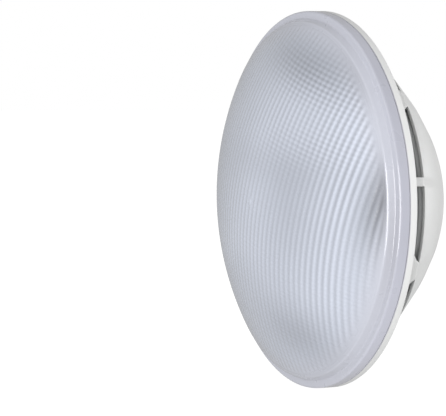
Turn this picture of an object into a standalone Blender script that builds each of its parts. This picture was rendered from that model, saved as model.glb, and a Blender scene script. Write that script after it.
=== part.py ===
"""Underwater pool light, PAR56 size: sealed LED lamp with a domed prismatic
lens, a white slotted rear shell and two screw terminals on the back.

Frame: metres, +Z up, the lens looks along -Y.  The origin is on the lamp
axis, in the plane of the rim's rear face, which rests on the niche's seat.
"""
import bpy
import bmesh
import math
from mathutils import Matrix, Vector

# ---------------------------------------------------------------- dimensions
MM = 0.001                    # one millimetre, in metres
SEG = 48                      # facets round the big turned pieces

R_RIM = 88.75                 # rim radius: 177.5 mm across, PAR56
Y_REAR = 0.0                  # rear face of the rim, on the niche seat
Y_SEAM = -4.0                 # parting line between lens and shell
SEAM = 0.15                   # half of the visible gap at the parting line
Y_FLANGE = -9.4               # front face of the lens's flange
Y_APEX = -39.35               # front of the dome
R_STEP = 84.0                 # lens's step, at its front corner
R_ROOT = 85.15                # and at its root, on the flange
R_DOME = 145.4                # radius of curvature of the domed face
T_LENS = 2.4                  # lens wall

R_WALL = 72.0                 # slotted wall behind the rim
R_WALL_IN = 68.8
Y_WALL = 13.1                 # where the slotted wall turns into the cone
R_TAIL, Y_TAIL = 38.5, 43.0   # where the cone turns into the rear face
R_BACK, Y_BACK = 35.0, 44.5   # flat rear face
T_BACK = 2.6
R_TURRET_HOLE = 23.0

SLOT_Y0, SLOT_Y1 = 2.0, 13.9  # slots, front and rear edges
WIDE_RIB_DEG = [-25.2, 42.35, 115.47, 188.59, 261.71]
WIDE_HALF_DEG = 3.3
NARROW_HALF_DEG = 1.65
FLARE_DEG = 5.0               # a wide rib's spread towards the rim

R_CUP = 66.4                  # watertight cup inside the shell
Y_CUP_CONE = 15.4
R_CUP_TAIL, Y_CUP_FLOOR = 44.0, 33.0
T_CUP = 2.2
R_TURRET, Y_TURRET = 22.5, 45.9

R_POCKET = 64.2               # pocket for the light engine
Y_LEDGE = 1.6
R_BOARD = 63.7
LED_RINGS = [(3, 17.0, 90.0), (9, 41.0, 10.0)]
R_BOARD_SCREW = 54.0
R_DRIVER = 49.0
Y_DRIVER = 22.0               # front face of the driver board
T_PCB = 1.6
R_DRIVER_SCREW = 40.0
DRIVER_SCREW_DEG = [30.0, 150.0, 270.0]

R_CASE_SCREW = 30.0
CASE_SCREW_DEG = [45.0, 135.0, 225.0, 315.0]

X_TERM = 11.5                 # terminals stand at -X and +X
R_POST = 4.0
Y_POST_IN = 36.0              # inner end of the terminal post
Y_PAD = 47.6                  # terminal pad's flat, for a cable lug
Y_BOSS = 48.0                 # round boss under the clamp washer
R_BOSS = 5.2
T_WASHER = 1.2
R_WASHER = 4.8
R_M5 = 2.5


# ----------------------------------------------------------------- materials
def material(name, colour, roughness, metallic=0.0, transmission=0.0, ior=1.45):
    m = bpy.data.materials.new(name)
    m.use_nodes = True
    p = m.node_tree.nodes["Principled BSDF"]
    p.inputs["Base Color"].default_value = (*colour, 1.0)
    p.inputs["Roughness"].default_value = roughness
    p.inputs["Metallic"].default_value = metallic
    p.inputs["IOR"].default_value = ior
    p.inputs["Transmission Weight"].default_value = transmission
    m.diffuse_color = (*colour, 1.0)
    return m


# ------------------------------------------------------------------- helpers
def finish_object(name, bm, mat, location=(0, 0, 0), parent=None, cutter=False):
    bmesh.ops.remove_doubles(bm, verts=bm.verts, dist=2e-6)
    bmesh.ops.recalc_face_normals(bm, faces=bm.faces)
    me = bpy.data.meshes.new(name)
    bm.to_mesh(me)
    bm.free()
    ob = bpy.data.objects.new(name, me)
    bpy.context.scene.collection.objects.link(ob)
    ob.location = Vector(location) * MM
    ob.parent = parent
    if cutter:
        ob.hide_render = True
        ob.display_type = "WIRE"
    else:
        me.materials.append(mat)
        me.shade_smooth()
        me.set_sharp_from_angle(angle=math.radians(32))
    return ob


def spin_profile(bm, profile, steps):
    """Turn a closed profile of (radius, y) points about the Y axis."""
    verts = [bm.verts.new((r * MM, y * MM, 0.0)) for r, y in profile]
    edges = []
    for i, (r, y) in enumerate(profile):
        r2, y2 = profile[(i + 1) % len(profile)]
        if r > 0.0 or r2 > 0.0:
            edges.append(bm.edges.new((verts[i], verts[(i + 1) % len(verts)])))
    bmesh.ops.spin(bm, geom=verts + edges, cent=(0, 0, 0), axis=(0, 1, 0),
                   dvec=(0, 0, 0), angle=2.0 * math.pi, steps=steps,
                   use_merge=True, use_duplicate=False)


def turned(name, profile, mat, at=(0, 0, 0), steps=SEG, parent=None, cutter=False):
    bm = bmesh.new()
    spin_profile(bm, profile, steps)
    return finish_object(name, bm, mat, at, parent, cutter)


def add_cylinder(bm, r, y0, y1, x=0.0, z=0.0, segments=24, spin=0.0):
    made = bmesh.ops.create_cone(bm, cap_ends=True, cap_tris=False,
                                 segments=segments, radius1=r * MM, radius2=r * MM,
                                 depth=(y1 - y0) * MM)
    turn = Matrix.Rotation(math.radians(spin), 4, "Y") @ Matrix.Rotation(math.radians(-90.0), 4, "X")
    move = Matrix.Translation(Vector((x, 0.5 * (y0 + y1), z)) * MM)
    bmesh.ops.transform(bm, matrix=move @ turn, verts=made["verts"])
    return made["verts"]


def add_box(bm, sx, sy, sz, x=0.0, y=0.0, z=0.0, spin=0.0):
    made = bmesh.ops.create_cube(bm, size=1.0)
    bmesh.ops.scale(bm, vec=Vector((sx, sy, sz)) * MM, verts=made["verts"])
    turn = Matrix.Rotation(math.radians(spin), 4, "Y")
    move = Matrix.Translation(Vector((x, y, z)) * MM)
    bmesh.ops.transform(bm, matrix=move @ turn, verts=made["verts"])
    return made["verts"]


def boolean(ob, other, operation="DIFFERENCE"):
    mod = ob.modifiers.new(operation.lower(), "BOOLEAN")
    mod.operation = operation
    mod.solver = "EXACT"
    mod.object = other


def bevel(ob, width, segments=1, angle=40.0):
    mod = ob.modifiers.new("bevel", "BEVEL")
    mod.width = width * MM
    mod.segments = segments
    mod.limit_method = "ANGLE"
    mod.angle_limit = math.radians(angle)


def cross_recess(ob, name, width, length, depth, at, parent):
    """Cut a cross recess into a screw head whose top centre is at `at`."""
    for tag, sx, sz in (("_a", width, length), ("_b", length, width)):
        bm = bmesh.new()
        add_box(bm, sx, 2.0 * depth, sz)
        boolean(ob, finish_object(name + tag, bm, None, at, parent, True))


def around(radius, degrees):
    a = math.radians(degrees)
    return radius * math.cos(a), radius * math.sin(a)


def arc(centre, radius, a0, a1, steps):
    """Points of an arc in the profile plane, angles in degrees."""
    return [(centre[0] + radius * math.cos(math.radians(a0 + (a1 - a0) * i / steps)),
             centre[1] + radius * math.sin(math.radians(a0 + (a1 - a0) * i / steps)))
            for i in range(steps + 1)]


def wire(name, points, radius, mat, parent):
    """Round insulated lead through smooth points given in millimetres."""
    cu = bpy.data.curves.new(name, "CURVE")
    cu.dimensions = "3D"
    cu.bevel_depth = radius * MM
    cu.bevel_resolution = 2
    cu.use_fill_caps = True
    sp = cu.splines.new("POLY")
    dense = []
    n = len(points) - 1
    for k in range(n):
        p0, p1, p2, p3 = (Vector(points[max(k - 1, 0)]), Vector(points[k]),
                          Vector(points[k + 1]), Vector(points[min(k + 2, n)]))
        for j in range(3):
            t = j / 3.0
            dense.append(0.5 * ((2 * p1) + (p2 - p0) * t + (2 * p0 - 5 * p1 + 4 * p2 - p3) * t * t
                                + (3 * p1 - p0 - 3 * p2 + p3) * t ** 3))
    dense.append(Vector(points[-1]))
    sp.points.add(len(dense) - 1)
    for p, q in zip(sp.points, dense):
        p.co = (*(q * MM), 1.0)
    cu.materials.append(mat)
    ob = bpy.data.objects.new(name, cu)
    bpy.context.scene.collection.objects.link(ob)
    ob.parent = parent
    return ob


# --------------------------------------------------------------------- scene
for old in list(bpy.data.objects):
    bpy.data.objects.remove(old, do_unlink=True)

frame = bpy.data.objects.new("lamp_frame", None)
bpy.context.scene.collection.objects.link(frame)

pc_frost = material("lens_polycarbonate", (0.86, 0.88, 0.93), 0.22, 0.0, 0.6, 1.58)
silicone = material("seal_silicone", (0.55, 0.56, 0.57), 0.55)
white_abs = material("shell_white_plastic", (0.80, 0.81, 0.79), 0.42)
grey_abs = material("cup_grey_plastic", (0.23, 0.24, 0.24), 0.5)
reflect_white = material("reflector_white_plastic", (0.88, 0.88, 0.87), 0.35)
aluminium = material("spreader_aluminium", (0.78, 0.79, 0.80), 0.38, 1.0)
pad_grey = material("thermal_pad_silicone", (0.50, 0.55, 0.60), 0.7)
board_white = material("led_board_white_mask", (0.86, 0.87, 0.85), 0.4)
led_body = material("led_epoxy", (0.93, 0.90, 0.78), 0.25)
board_green = material("driver_board_green_mask", (0.05, 0.23, 0.11), 0.4)
cap_sleeve = material("capacitor_sleeve", (0.05, 0.06, 0.08), 0.35)
ferrite = material("choke_windings", (0.55, 0.27, 0.10), 0.4, 0.6)
chip_black = material("component_black_epoxy", (0.03, 0.03, 0.03), 0.5)
radio_blue = material("receiver_board_blue_mask", (0.05, 0.12, 0.32), 0.4)
lead_red = material("lead_red_pvc", (0.55, 0.04, 0.03), 0.45)
lead_green = material("lead_green_pvc", (0.04, 0.35, 0.09), 0.45)
lead_blue = material("lead_blue_pvc", (0.04, 0.10, 0.45), 0.45)
lead_black = material("lead_black_pvc", (0.03, 0.03, 0.03), 0.45)
brass = material("terminal_brass", (0.72, 0.53, 0.24), 0.3, 1.0)
steel = material("stainless_steel", (0.66, 0.66, 0.65), 0.28, 1.0)
epdm = material("oring_rubber", (0.04, 0.04, 0.04), 0.6)

# ------------------------------------------------------------- lens and seal
y_centre = Y_APEX + R_DOME
step_a = math.degrees(math.asin(R_STEP / R_DOME))
outer_dome = [(R_DOME * math.sin(math.radians(step_a * k / 8)),
               y_centre - R_DOME * math.cos(math.radians(step_a * k / 8))) for k in range(9)]
y_step = outer_dome[-1][1]
outer_dome[-1] = (R_STEP - 0.4, y_step - 0.27)
r_in_step = R_ROOT - T_LENS
r_in_dome = R_DOME - T_LENS
in_a = math.degrees(math.asin(r_in_step / r_in_dome))
inner_dome = [(r_in_dome * math.sin(math.radians(in_a * k / 5)),
               y_centre - r_in_dome * math.cos(math.radians(in_a * k / 5))) for k in range(5, -1, -1)]
outer_dome[0] = (0.0, outer_dome[0][1])
inner_dome[-1] = (0.0, inner_dome[-1][1])
lens_profile = (outer_dome
                + [(R_STEP + 0.2, y_step + 0.4), (R_ROOT, Y_FLANGE)]
                + arc((R_RIM - 0.8, Y_FLANGE + 0.8), 0.8, -90, 0, 2)
                + [(R_RIM, Y_SEAM - SEAM), (86.35, Y_SEAM - SEAM), (86.35, -6.6), (r_in_step, -6.6)]
                + inner_dome)
front_lens = turned("front_lens", lens_profile, pc_frost, parent=frame)

turned("lens_seal", [(83.2, -6.35), (86.0, -6.35), (86.0, -4.55), (83.2, -4.55)],
       silicone, steps=40, parent=frame)

# ---------------------------------------------------------------- rear shell
shell_profile = [
    (86.4, Y_SEAM + SEAM), (R_RIM, Y_SEAM + SEAM), (R_RIM, Y_REAR - 0.5), (R_RIM - 0.5, Y_REAR),
    (R_WALL, Y_REAR), (R_WALL, Y_WALL), (54.1, 31.0), (43.0, 40.0),
    (R_TAIL, Y_TAIL), (36.9, 44.1), (R_BACK, Y_BACK), (R_TURRET_HOLE, Y_BACK),
    (R_TURRET_HOLE, Y_BACK - T_BACK), (35.4, Y_BACK - T_BACK), (41.5, 38.4),
    (51.5, 30.2), (65.2, 17.6), (R_WALL_IN, 14.4), (R_WALL_IN, -2.0), (86.4, -2.0)]
rear_shell = turned("rear_shell", shell_profile, white_abs, parent=frame)


def slot_cutter():
    """One solid per slot: a block bent round the wall, its wide-rib end flared."""
    bm = bmesh.new()
    n = len(WIDE_RIB_DEG)
    for i in range(n):
        w0 = WIDE_RIB_DEG[i]
        w1 = WIDE_RIB_DEG[(i + 1) % n] + (360.0 if i == n - 1 else 0.0)
        mid = 0.5 * (w0 + w1)
        for lo, hi, lo_wide in ((w0 + WIDE_HALF_DEG, mid - NARROW_HALF_DEG, True),
                                (mid + NARROW_HALF_DEG, w1 - WIDE_HALF_DEG, False)):
            y_rows = (SLOT_Y0, SLOT_Y1 - 5.0, SLOT_Y1)
            steps = 4
            rings = []
            for r in (62.0, 80.0):
                for k, y in enumerate(y_rows):
                    flare = FLARE_DEG if k < 2 else 0.0
                    a0 = lo + (flare if lo_wide else 0.0)
                    a1 = hi - (0.0 if lo_wide else flare)
                    row = []
                    for s in range(steps + 1):
                        x, z = around(r, a0 + (a1 - a0) * s / steps)
                        row.append(bm.verts.new((x * MM, y * MM, z * MM)))
                    rings.append(row)
            inner, outer = rings[:3], rings[3:]
            for s in range(steps):
                for k in range(2):
                    bm.faces.new((inner[k][s], inner[k][s + 1], inner[k + 1][s + 1], inner[k + 1][s]))
                    bm.faces.new((outer[k][s], outer[k + 1][s], outer[k + 1][s + 1], outer[k][s + 1]))
                bm.faces.new((inner[0][s], outer[0][s], outer[0][s + 1], inner[0][s + 1]))
                bm.faces.new((inner[2][s], inner[2][s + 1], outer[2][s + 1], outer[2][s]))
            for s in (0, steps):
                for k in range(2):
                    bm.faces.new((inner[k][s], inner[k + 1][s], outer[k + 1][s], outer[k][s]))
    return finish_object("slot_cutter", bm, None, cutter=True, parent=frame)


boolean(rear_shell, slot_cutter())

bm = bmesh.new()
for deg in CASE_SCREW_DEG:
    x, z = around(R_CASE_SCREW, deg)
    add_cylinder(bm, 1.9, 40.0, 43.5, x, z, 16)
shell_holes = finish_object("shell_screw_holes", bm, None, cutter=True, parent=frame)
boolean(rear_shell, shell_holes)
bm = bmesh.new()
for deg in CASE_SCREW_DEG:
    x, z = around(R_CASE_SCREW, deg)
    add_cylinder(bm, 3.6, 42.9, 46.0, x, z, 20)
shell_bores = finish_object("shell_screw_seats", bm, None, cutter=True, parent=frame)
boolean(rear_shell, shell_bores)

# ----------------------------------------------------------------- inner cup
cup_profile = [
    (R_POCKET, -4.3), (86.0, -4.3), (86.0, -2.3), (R_CUP, -2.3), (R_CUP, Y_CUP_CONE),
    (R_CUP_TAIL, Y_CUP_FLOOR), (R_TURRET, Y_CUP_FLOOR), (R_TURRET, Y_TURRET - 0.6),
    (R_TURRET - 0.6, Y_TURRET), (0.0, Y_TURRET), (0.0, 42.9), (20.0, 42.9), (20.0, 30.8),
    (43.2, 30.8), (R_POCKET, 13.8), (R_POCKET, 6.5), (60.5, 4.0), (60.5, Y_LEDGE),
    (R_POCKET, Y_LEDGE)]
inner_cup = turned("inner_cup", cup_profile, grey_abs, parent=frame)

bm = bmesh.new()
for k in range(4):
    x, z = around(R_BOARD_SCREW, 45.0 + 90.0 * k)
    add_cylinder(bm, 3.2, 1.7, 22.0, x, z, 16)
for deg in DRIVER_SCREW_DEG:
    x, z = around(R_DRIVER_SCREW, deg)
    add_cylinder(bm, 3.0, Y_DRIVER + T_PCB + 0.2, 32.0, x, z, 16)
for deg in CASE_SCREW_DEG:
    x, z = around(R_CASE_SCREW, deg)
    add_cylinder(bm, 3.6, 31.9, 41.6, x, z, 16)
boolean(inner_cup, finish_object("cup_bosses", bm, None, cutter=True, parent=frame), "UNION")

bm = bmesh.new()
for k in range(4):
    x, z = around(R_BOARD_SCREW, 45.0 + 90.0 * k)
    add_cylinder(bm, 1.7, 0.0, 11.0, x, z, 12)
for deg in DRIVER_SCREW_DEG:
    x, z = around(R_DRIVER_SCREW, deg)
    add_cylinder(bm, 1.4, 20.0, 29.0, x, z, 12)
for deg in CASE_SCREW_DEG:
    x, z = around(R_CASE_SCREW, deg)
    add_cylinder(bm, 1.7, 34.8, 42.4, x, z, 12)
for sx in (-1, 1):
    add_cylinder(bm, R_POST + 0.3, 41.0, 47.0, sx * X_TERM, 0.0, 24)
boolean(inner_cup, finish_object("cup_holes", bm, None, cutter=True, parent=frame))

bm = bmesh.new()
for sx in (-1, 1):
    add_cylinder(bm, 6.3, 44.3, 47.0, sx * X_TERM, 0.0, 24)
boolean(inner_cup, finish_object("cup_oring_seats", bm, None, cutter=True, parent=frame))

# -------------------------------------------------------------- light engine
turned("reflector_ring", [
    (61.6, -5.6), (81.6, -5.6), (81.6, -4.6), (63.8, -4.6), (63.8, -2.9), (61.6, -2.9)],
    reflect_white, steps=48, parent=frame)

bm = bmesh.new()
for k in range(4):
    x, z = around(R_BOARD_SCREW, 45.0 + 90.0 * k)
    add_cylinder(bm, 1.8, -5.0, 3.0, x, z, 12)
add_cylinder(bm, 7.0, -5.0, 3.0, 0.0, 0.0, 20)
engine_holes = finish_object("engine_holes", bm, None, cutter=True, parent=frame)

for name, r, y0, y1, mat in (("heat_spreader", R_BOARD, 0.0, 1.4, aluminium),
                             ("thermal_pad", R_BOARD - 2.0, -0.75, -0.25, pad_grey),
                             ("led_board", R_BOARD, -2.6, -1.0, board_white)):
    bm = bmesh.new()
    add_cylinder(bm, r, y0, y1, 0.0, 0.0, 40)
    ob = finish_object(name, bm, mat, parent=frame)
    boolean(ob, engine_holes)

number = 0
for count, radius, start in LED_RINGS:
    for k in range(count):
        number += 1
        x, z = around(radius, start + 360.0 * k / count)
        bm = bmesh.new()
        add_box(bm, 6.0, 1.1, 6.0, 0.0, -0.55, 0.0)
        ob = finish_object("led_%d" % number, bm, led_body, (x, -2.8, z), frame)
        bm = bmesh.new()
        top = bmesh.ops.create_uvsphere(bm, u_segments=10, v_segments=6, radius=2.3 * MM)
        bmesh.ops.scale(bm, vec=(1.0, 0.38, 1.0), verts=top["verts"])
        dome = finish_object("led_dome_%d" % number, bm, None, (x, -2.8 - 0.95, z), frame, cutter=True)
        boolean(ob, dome, "UNION")

for k in range(4):
    x, z = around(R_BOARD_SCREW, 45.0 + 90.0 * k)
    turned("board_screw_%d" % (k + 1),
           [(0.0, -1.5), (1.6, -1.5), (2.7, -0.7), (2.8, -0.1), (1.35, -0.1), (1.35, 9.0), (0.0, 9.8)],
           steel, (x, -2.8, z), 16, frame)

# ------------------------------------------------------------- driver module
bm = bmesh.new()
add_cylinder(bm, R_DRIVER, Y_DRIVER, Y_DRIVER + T_PCB, 0.0, 0.0, 40)
driver_board = finish_object("driver_board", bm, board_green, parent=frame)
bm = bmesh.new()
for deg in DRIVER_SCREW_DEG:
    x, z = around(R_DRIVER_SCREW, deg)
    add_cylinder(bm, 1.5, Y_DRIVER - 2.0, Y_DRIVER + 4.0, x, z, 12)
boolean(driver_board, finish_object("driver_holes", bm, None, cutter=True, parent=frame))

for k, deg in enumerate(DRIVER_SCREW_DEG):
    x, z = around(R_DRIVER_SCREW, deg)
    turned("driver_screw_%d" % (k + 1),
           [(0.0, -1.5), (1.5, -1.5), (2.4, -0.8), (2.5, -0.1), (1.15, -0.1), (1.15, 5.6), (0.0, 6.2)],
           steel, (x, Y_DRIVER - 0.1, z), 16, frame)

y_top = Y_DRIVER - 0.2        # components stand on the board's front face
for k, (x, z) in enumerate(((-24.0, 14.0), (-24.0, -2.0))):
    turned("filter_capacitor_%d" % (k + 1),
           [(0.0, -14.0), (4.6, -14.0), (5.0, -13.6), (5.0, -1.6), (4.7, -1.3), (5.0, -1.0),
            (5.0, 0.0), (0.0, 0.0)], cap_sleeve, (x, y_top, z), 20, frame)

turned("choke_coil", arc((6.2, -3.4), 3.2, 0, 315, 7), ferrite, (24.0, y_top, 12.0), 20, frame)


def block(name, sx, sy, sz, x, z, mat, edge=0.35, spin=0.0):
    bm = bmesh.new()
    add_box(bm, sx, sy, sz, 0.0, -0.5 * sy, 0.0, spin)
    ob = finish_object(name, bm, mat, (x, y_top, z), frame)
    bevel(ob, edge)
    return ob


block("bridge_rectifier", 10.0, 4.0, 9.0, -24.0, -18.0, chip_black)
for k in range(3):
    block("led_driver_%d" % (k + 1), 6.6, 2.3, 6.2, 16.0 + 9.5 * k, -8.0, chip_black, 0.25)
block("control_chip", 10.0, 1.8, 7.0, 22.0, -22.0, chip_black, 0.25)
block("receiver_module", 3.0, 12.0, 24.0, -7.5, 24.0, radio_blue, 0.3, 90.0)
wire("receiver_antenna", [(-7.5, y_top - 0.1, 31.0), (-7.5, 17.0, 35.0), (-2.0, 13.0, 37.5),
                          (8.0, 11.5, 38.5), (17.0, 11.0, 36.0), (24.0, 11.0, 30.5)],
     0.6, lead_black, frame)

leads = (("led_lead_red", lead_red, -1, 1), ("led_lead_green", lead_green, 1, 1),
         ("led_lead_blue", lead_blue, -1, -1), ("led_lead_common", lead_black, 1, -1))
for name, mat, sx, sz in leads:
    wire(name, [(sx * 6.0, y_top - 0.2, sz * 8.0 - 2.0), (sx * 5.2, 16.0, sz * 6.0 - 1.0),
                (sx * 3.3, 6.0, sz * 3.3), (sx * 3.4, -1.8, sz * 3.4),
                (sx * 5.6, -3.7, sz * 5.6), (sx * 8.6, -3.75, sz * 8.6)],
         0.75, mat, frame)

for side, sx in (("left", -1), ("right", 1)):
    wire("supply_lead_" + side,
         [(sx * X_TERM, Y_POST_IN - 0.2, 0.0), (sx * X_TERM, 33.0, 0.0), (sx * 13.5, 29.5, 0.0),
          (sx * 15.0, 26.5, 0.0), (sx * 15.0, Y_DRIVER + T_PCB + 0.25, 0.0)],
         1.1, lead_black, frame)

# ------------------------------------------------------------ rear terminals
for side, sx in (("left", -1), ("right", 1)):
    axis = bpy.data.objects.new("terminal_axis_" + side, None)
    bpy.context.scene.collection.objects.link(axis)
    axis.location = Vector((sx * X_TERM, Y_BOSS, 0.0)) * MM
    axis.parent = frame

    bm = bmesh.new()
    add_box(bm, 11.6, Y_PAD - 46.2, 17.0, 0.0, 0.5 * (46.2 + Y_PAD) - Y_BOSS, 0.0)
    post = finish_object("terminal_post_" + side, bm, brass, parent=axis)
    bm = bmesh.new()
    add_cylinder(bm, R_POST, Y_POST_IN - Y_BOSS, 46.9 - Y_BOSS, 0.0, 0.0, 24)
    boolean(post, finish_object("post_stem_" + side, bm, None, cutter=True, parent=axis), "UNION")
    bm = bmesh.new()
    add_cylinder(bm, R_BOSS, 46.8 - Y_BOSS, 0.0, 0.0, 0.0, 28)
    boolean(post, finish_object("post_boss_" + side, bm, None, cutter=True, parent=axis), "UNION")
    bm = bmesh.new()
    add_cylinder(bm, R_M5 + 0.2, -14.0 + 0.6, 1.0, 0.0, 0.0, 20)
    boolean(post, finish_object("post_bore_" + side, bm, None, cutter=True, parent=axis))

    turned("terminal_oring_" + side, arc((5.15, 45.05 - Y_BOSS), 0.68, 0, 300, 5), epdm, (0, 0, 0), 20, axis)

    bm = bmesh.new()
    add_cylinder(bm, 13.0 / math.sqrt(3.0), 39.6 - Y_BOSS, 42.6 - Y_BOSS, 0.0, 0.0, 6, 30.0)
    nut = finish_object("terminal_nut_" + side, bm, brass, parent=axis)
    bm = bmesh.new()
    add_cylinder(bm, R_POST + 0.25, 38.0 - Y_BOSS, 44.0 - Y_BOSS, 0.0, 0.0, 24)
    boolean(nut, finish_object("nut_bore_" + side, bm, None, cutter=True, parent=axis))

    turned("terminal_washer_" + side,
           [(R_M5 + 0.2, 0.2), (R_WASHER - 0.25, 0.2), (R_WASHER, 0.45), (R_WASHER, T_WASHER - 0.05),
            (R_WASHER - 0.25, T_WASHER + 0.2), (R_M5 + 0.2, T_WASHER + 0.2)],
           steel, (0, 0, 0), 28, axis)

    y_head = T_WASHER + 0.4
    screw = turned("terminal_screw_" + side,
                   [(0.0, y_head + 3.0), (3.3, y_head + 3.0), (4.2, y_head + 2.2), (4.3, y_head),
                    (R_M5, y_head), (R_M5, -10.4), (R_M5 - 0.9, -11.4), (0.0, -11.4)],
                   steel, (0, 0, 0), 24, axis)
    cross_recess(screw, "terminal_cross_" + side, 1.2, 6.2, 1.6, (0, y_head + 3.0, 0), axis)

for k, deg in enumerate(CASE_SCREW_DEG):
    x, z = around(R_CASE_SCREW, deg)
    screw = turned("case_screw_%d" % (k + 1),
                   [(0.0, 1.3), (2.6, 1.3), (3.2, 0.7), (3.2, 0.0), (1.45, 0.0), (1.45, -7.0), (0.0, -7.8)],
                   steel, (x, 43.0, z), 20, frame)
    cross_recess(screw, "case_cross_%d" % (k + 1), 0.8, 3.6, 0.8, (x, 44.3, z), frame)
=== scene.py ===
import math

import bmesh
import bpy
import numpy as np
from mathutils import Matrix, Vector


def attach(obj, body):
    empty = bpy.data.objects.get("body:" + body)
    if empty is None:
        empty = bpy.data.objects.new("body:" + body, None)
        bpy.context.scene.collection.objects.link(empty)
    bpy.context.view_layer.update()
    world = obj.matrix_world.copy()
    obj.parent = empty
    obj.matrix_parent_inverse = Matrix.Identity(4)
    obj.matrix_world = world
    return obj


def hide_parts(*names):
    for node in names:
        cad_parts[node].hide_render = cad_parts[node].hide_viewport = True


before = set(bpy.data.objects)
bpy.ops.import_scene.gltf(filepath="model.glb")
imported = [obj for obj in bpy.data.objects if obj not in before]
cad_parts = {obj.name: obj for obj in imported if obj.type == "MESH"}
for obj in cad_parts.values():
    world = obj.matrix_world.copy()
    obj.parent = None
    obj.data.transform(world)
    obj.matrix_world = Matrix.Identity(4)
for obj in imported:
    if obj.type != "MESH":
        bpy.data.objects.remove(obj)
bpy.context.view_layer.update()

MM = 0.001
LAMP = "lamp"

# =====================================================================
# materials: every one is procedural, in object coordinates (metres)
# =====================================================================


class Mat:
    """A Principled material with small helpers for its node tree."""

    def __init__(self, name):
        self.m = bpy.data.materials.new(name)
        self.m.use_nodes = True
        self.nt = self.m.node_tree
        self.p = self.nt.nodes["Principled BSDF"]
        self.tc = self.nt.nodes.new("ShaderNodeTexCoord")

    def set(self, **values):
        for key, v in values.items():
            s = self.p.inputs[key.replace("_", " ")]
            s.default_value = (*v, 1.0) if isinstance(v, tuple) and len(v) == 3 and s.type == "RGBA" else v
        return self

    def link(self, a, b):
        self.nt.links.new(a, b)

    def coords(self, scale=(1, 1, 1), rotation=(0, 0, 0)):
        mp = self.nt.nodes.new("ShaderNodeMapping")
        mp.inputs["Scale"].default_value = scale
        mp.inputs["Rotation"].default_value = rotation
        self.link(self.tc.outputs["Object"], mp.inputs["Vector"])
        return mp.outputs["Vector"]

    def noise(self, scale, detail=3.0, rough=0.5, vector=None, distortion=0.0):
        n = self.nt.nodes.new("ShaderNodeTexNoise")
        n.inputs["Scale"].default_value = scale
        n.inputs["Detail"].default_value = detail
        n.inputs["Roughness"].default_value = rough
        n.inputs["Distortion"].default_value = distortion
        self.link(vector or self.tc.outputs["Object"], n.inputs["Vector"])
        return n.outputs["Fac"]

    def voronoi(self, scale, vector=None, feature="F1"):
        n = self.nt.nodes.new("ShaderNodeTexVoronoi")
        n.feature = feature
        n.inputs["Scale"].default_value = scale
        self.link(vector or self.tc.outputs["Object"], n.inputs["Vector"])
        return n.outputs["Distance"]

    def ranged(self, value, a0, a1, b0, b1):
        n = self.nt.nodes.new("ShaderNodeMapRange")
        n.inputs["From Min"].default_value = a0
        n.inputs["From Max"].default_value = a1
        n.inputs["To Min"].default_value = b0
        n.inputs["To Max"].default_value = b1
        self.link(value, n.inputs["Value"])
        return n.outputs["Result"]

    def ramp(self, value, stops):
        n = self.nt.nodes.new("ShaderNodeValToRGB")
        el = n.color_ramp.elements
        while len(el) < len(stops):
            el.new(0.5)
        for e, (pos, col) in zip(el, stops):
            e.position = pos
            e.color = (*col, 1.0)
        self.link(value, n.inputs["Fac"])
        return n.outputs["Color"]

    def math(self, op, a, b=None, clamp=False):
        n = self.nt.nodes.new("ShaderNodeMath")
        n.operation = op
        n.use_clamp = clamp
        for i, v in enumerate((a, b)):
            if v is None:
                continue
            if isinstance(v, (int, float)):
                n.inputs[i].default_value = v
            else:
                self.link(v, n.inputs[i])
        return n.outputs[0]

    def mix(self, fac, a, b):
        n = self.nt.nodes.new("ShaderNodeMix")
        n.data_type = "RGBA"
        for s, v in (("Factor", fac), ("A", a), ("B", b)):
            sock = [i for i in n.inputs if i.name == s and i.type == ("VALUE" if s == "Factor" else "RGBA")][0]
            if isinstance(v, tuple):
                sock.default_value = (*v, 1.0)
            elif isinstance(v, (int, float)):
                sock.default_value = v
            else:
                self.link(v, sock)
        return [o for o in n.outputs if o.type == "RGBA"][0]

    def split(self, vector=None):
        n = self.nt.nodes.new("ShaderNodeSeparateXYZ")
        self.link(vector or self.tc.outputs["Object"], n.inputs[0])
        return n.outputs

    def bump(self, height, distance, strength=1.0):
        n = self.nt.nodes.new("ShaderNodeBump")
        n.inputs["Strength"].default_value = strength
        n.inputs["Distance"].default_value = distance
        self.link(height, n.inputs["Height"])
        self.link(n.outputs["Normal"], self.p.inputs["Normal"])

    def colour(self, socket):
        self.link(socket, self.p.inputs["Base Color"])

    def roughness(self, socket):
        self.link(socket, self.p.inputs["Roughness"])


def scaled(c, k):
    return tuple(min(1.0, v * k) for v in c)


def moulded(name, colour, rough, grain=0.000012, tone=0.035, mottle=38.0, **extra):
    """Injection-moulded plastic: faint flow marks, a fine matt grain, uneven gloss."""
    m = Mat(name).set(**extra)
    flow = m.noise(mottle, 4.0, 0.55, m.coords((1.0, 0.45, 1.0)), 0.6)
    m.colour(m.ramp(flow, [(0.28, scaled(colour, 1.0 - tone)), (0.55, colour), (0.8, scaled(colour, 1.0 + tone * 0.6))]))
    m.roughness(m.ranged(m.noise(140.0, 2.0), 0.3, 0.7, rough - 0.05, rough + 0.06))
    m.bump(m.math("ADD", m.noise(2600.0, 2.0, 0.6), m.math("MULTIPLY", m.noise(420.0, 2.0), 0.6)), grain, 0.6)
    return m.m


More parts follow.
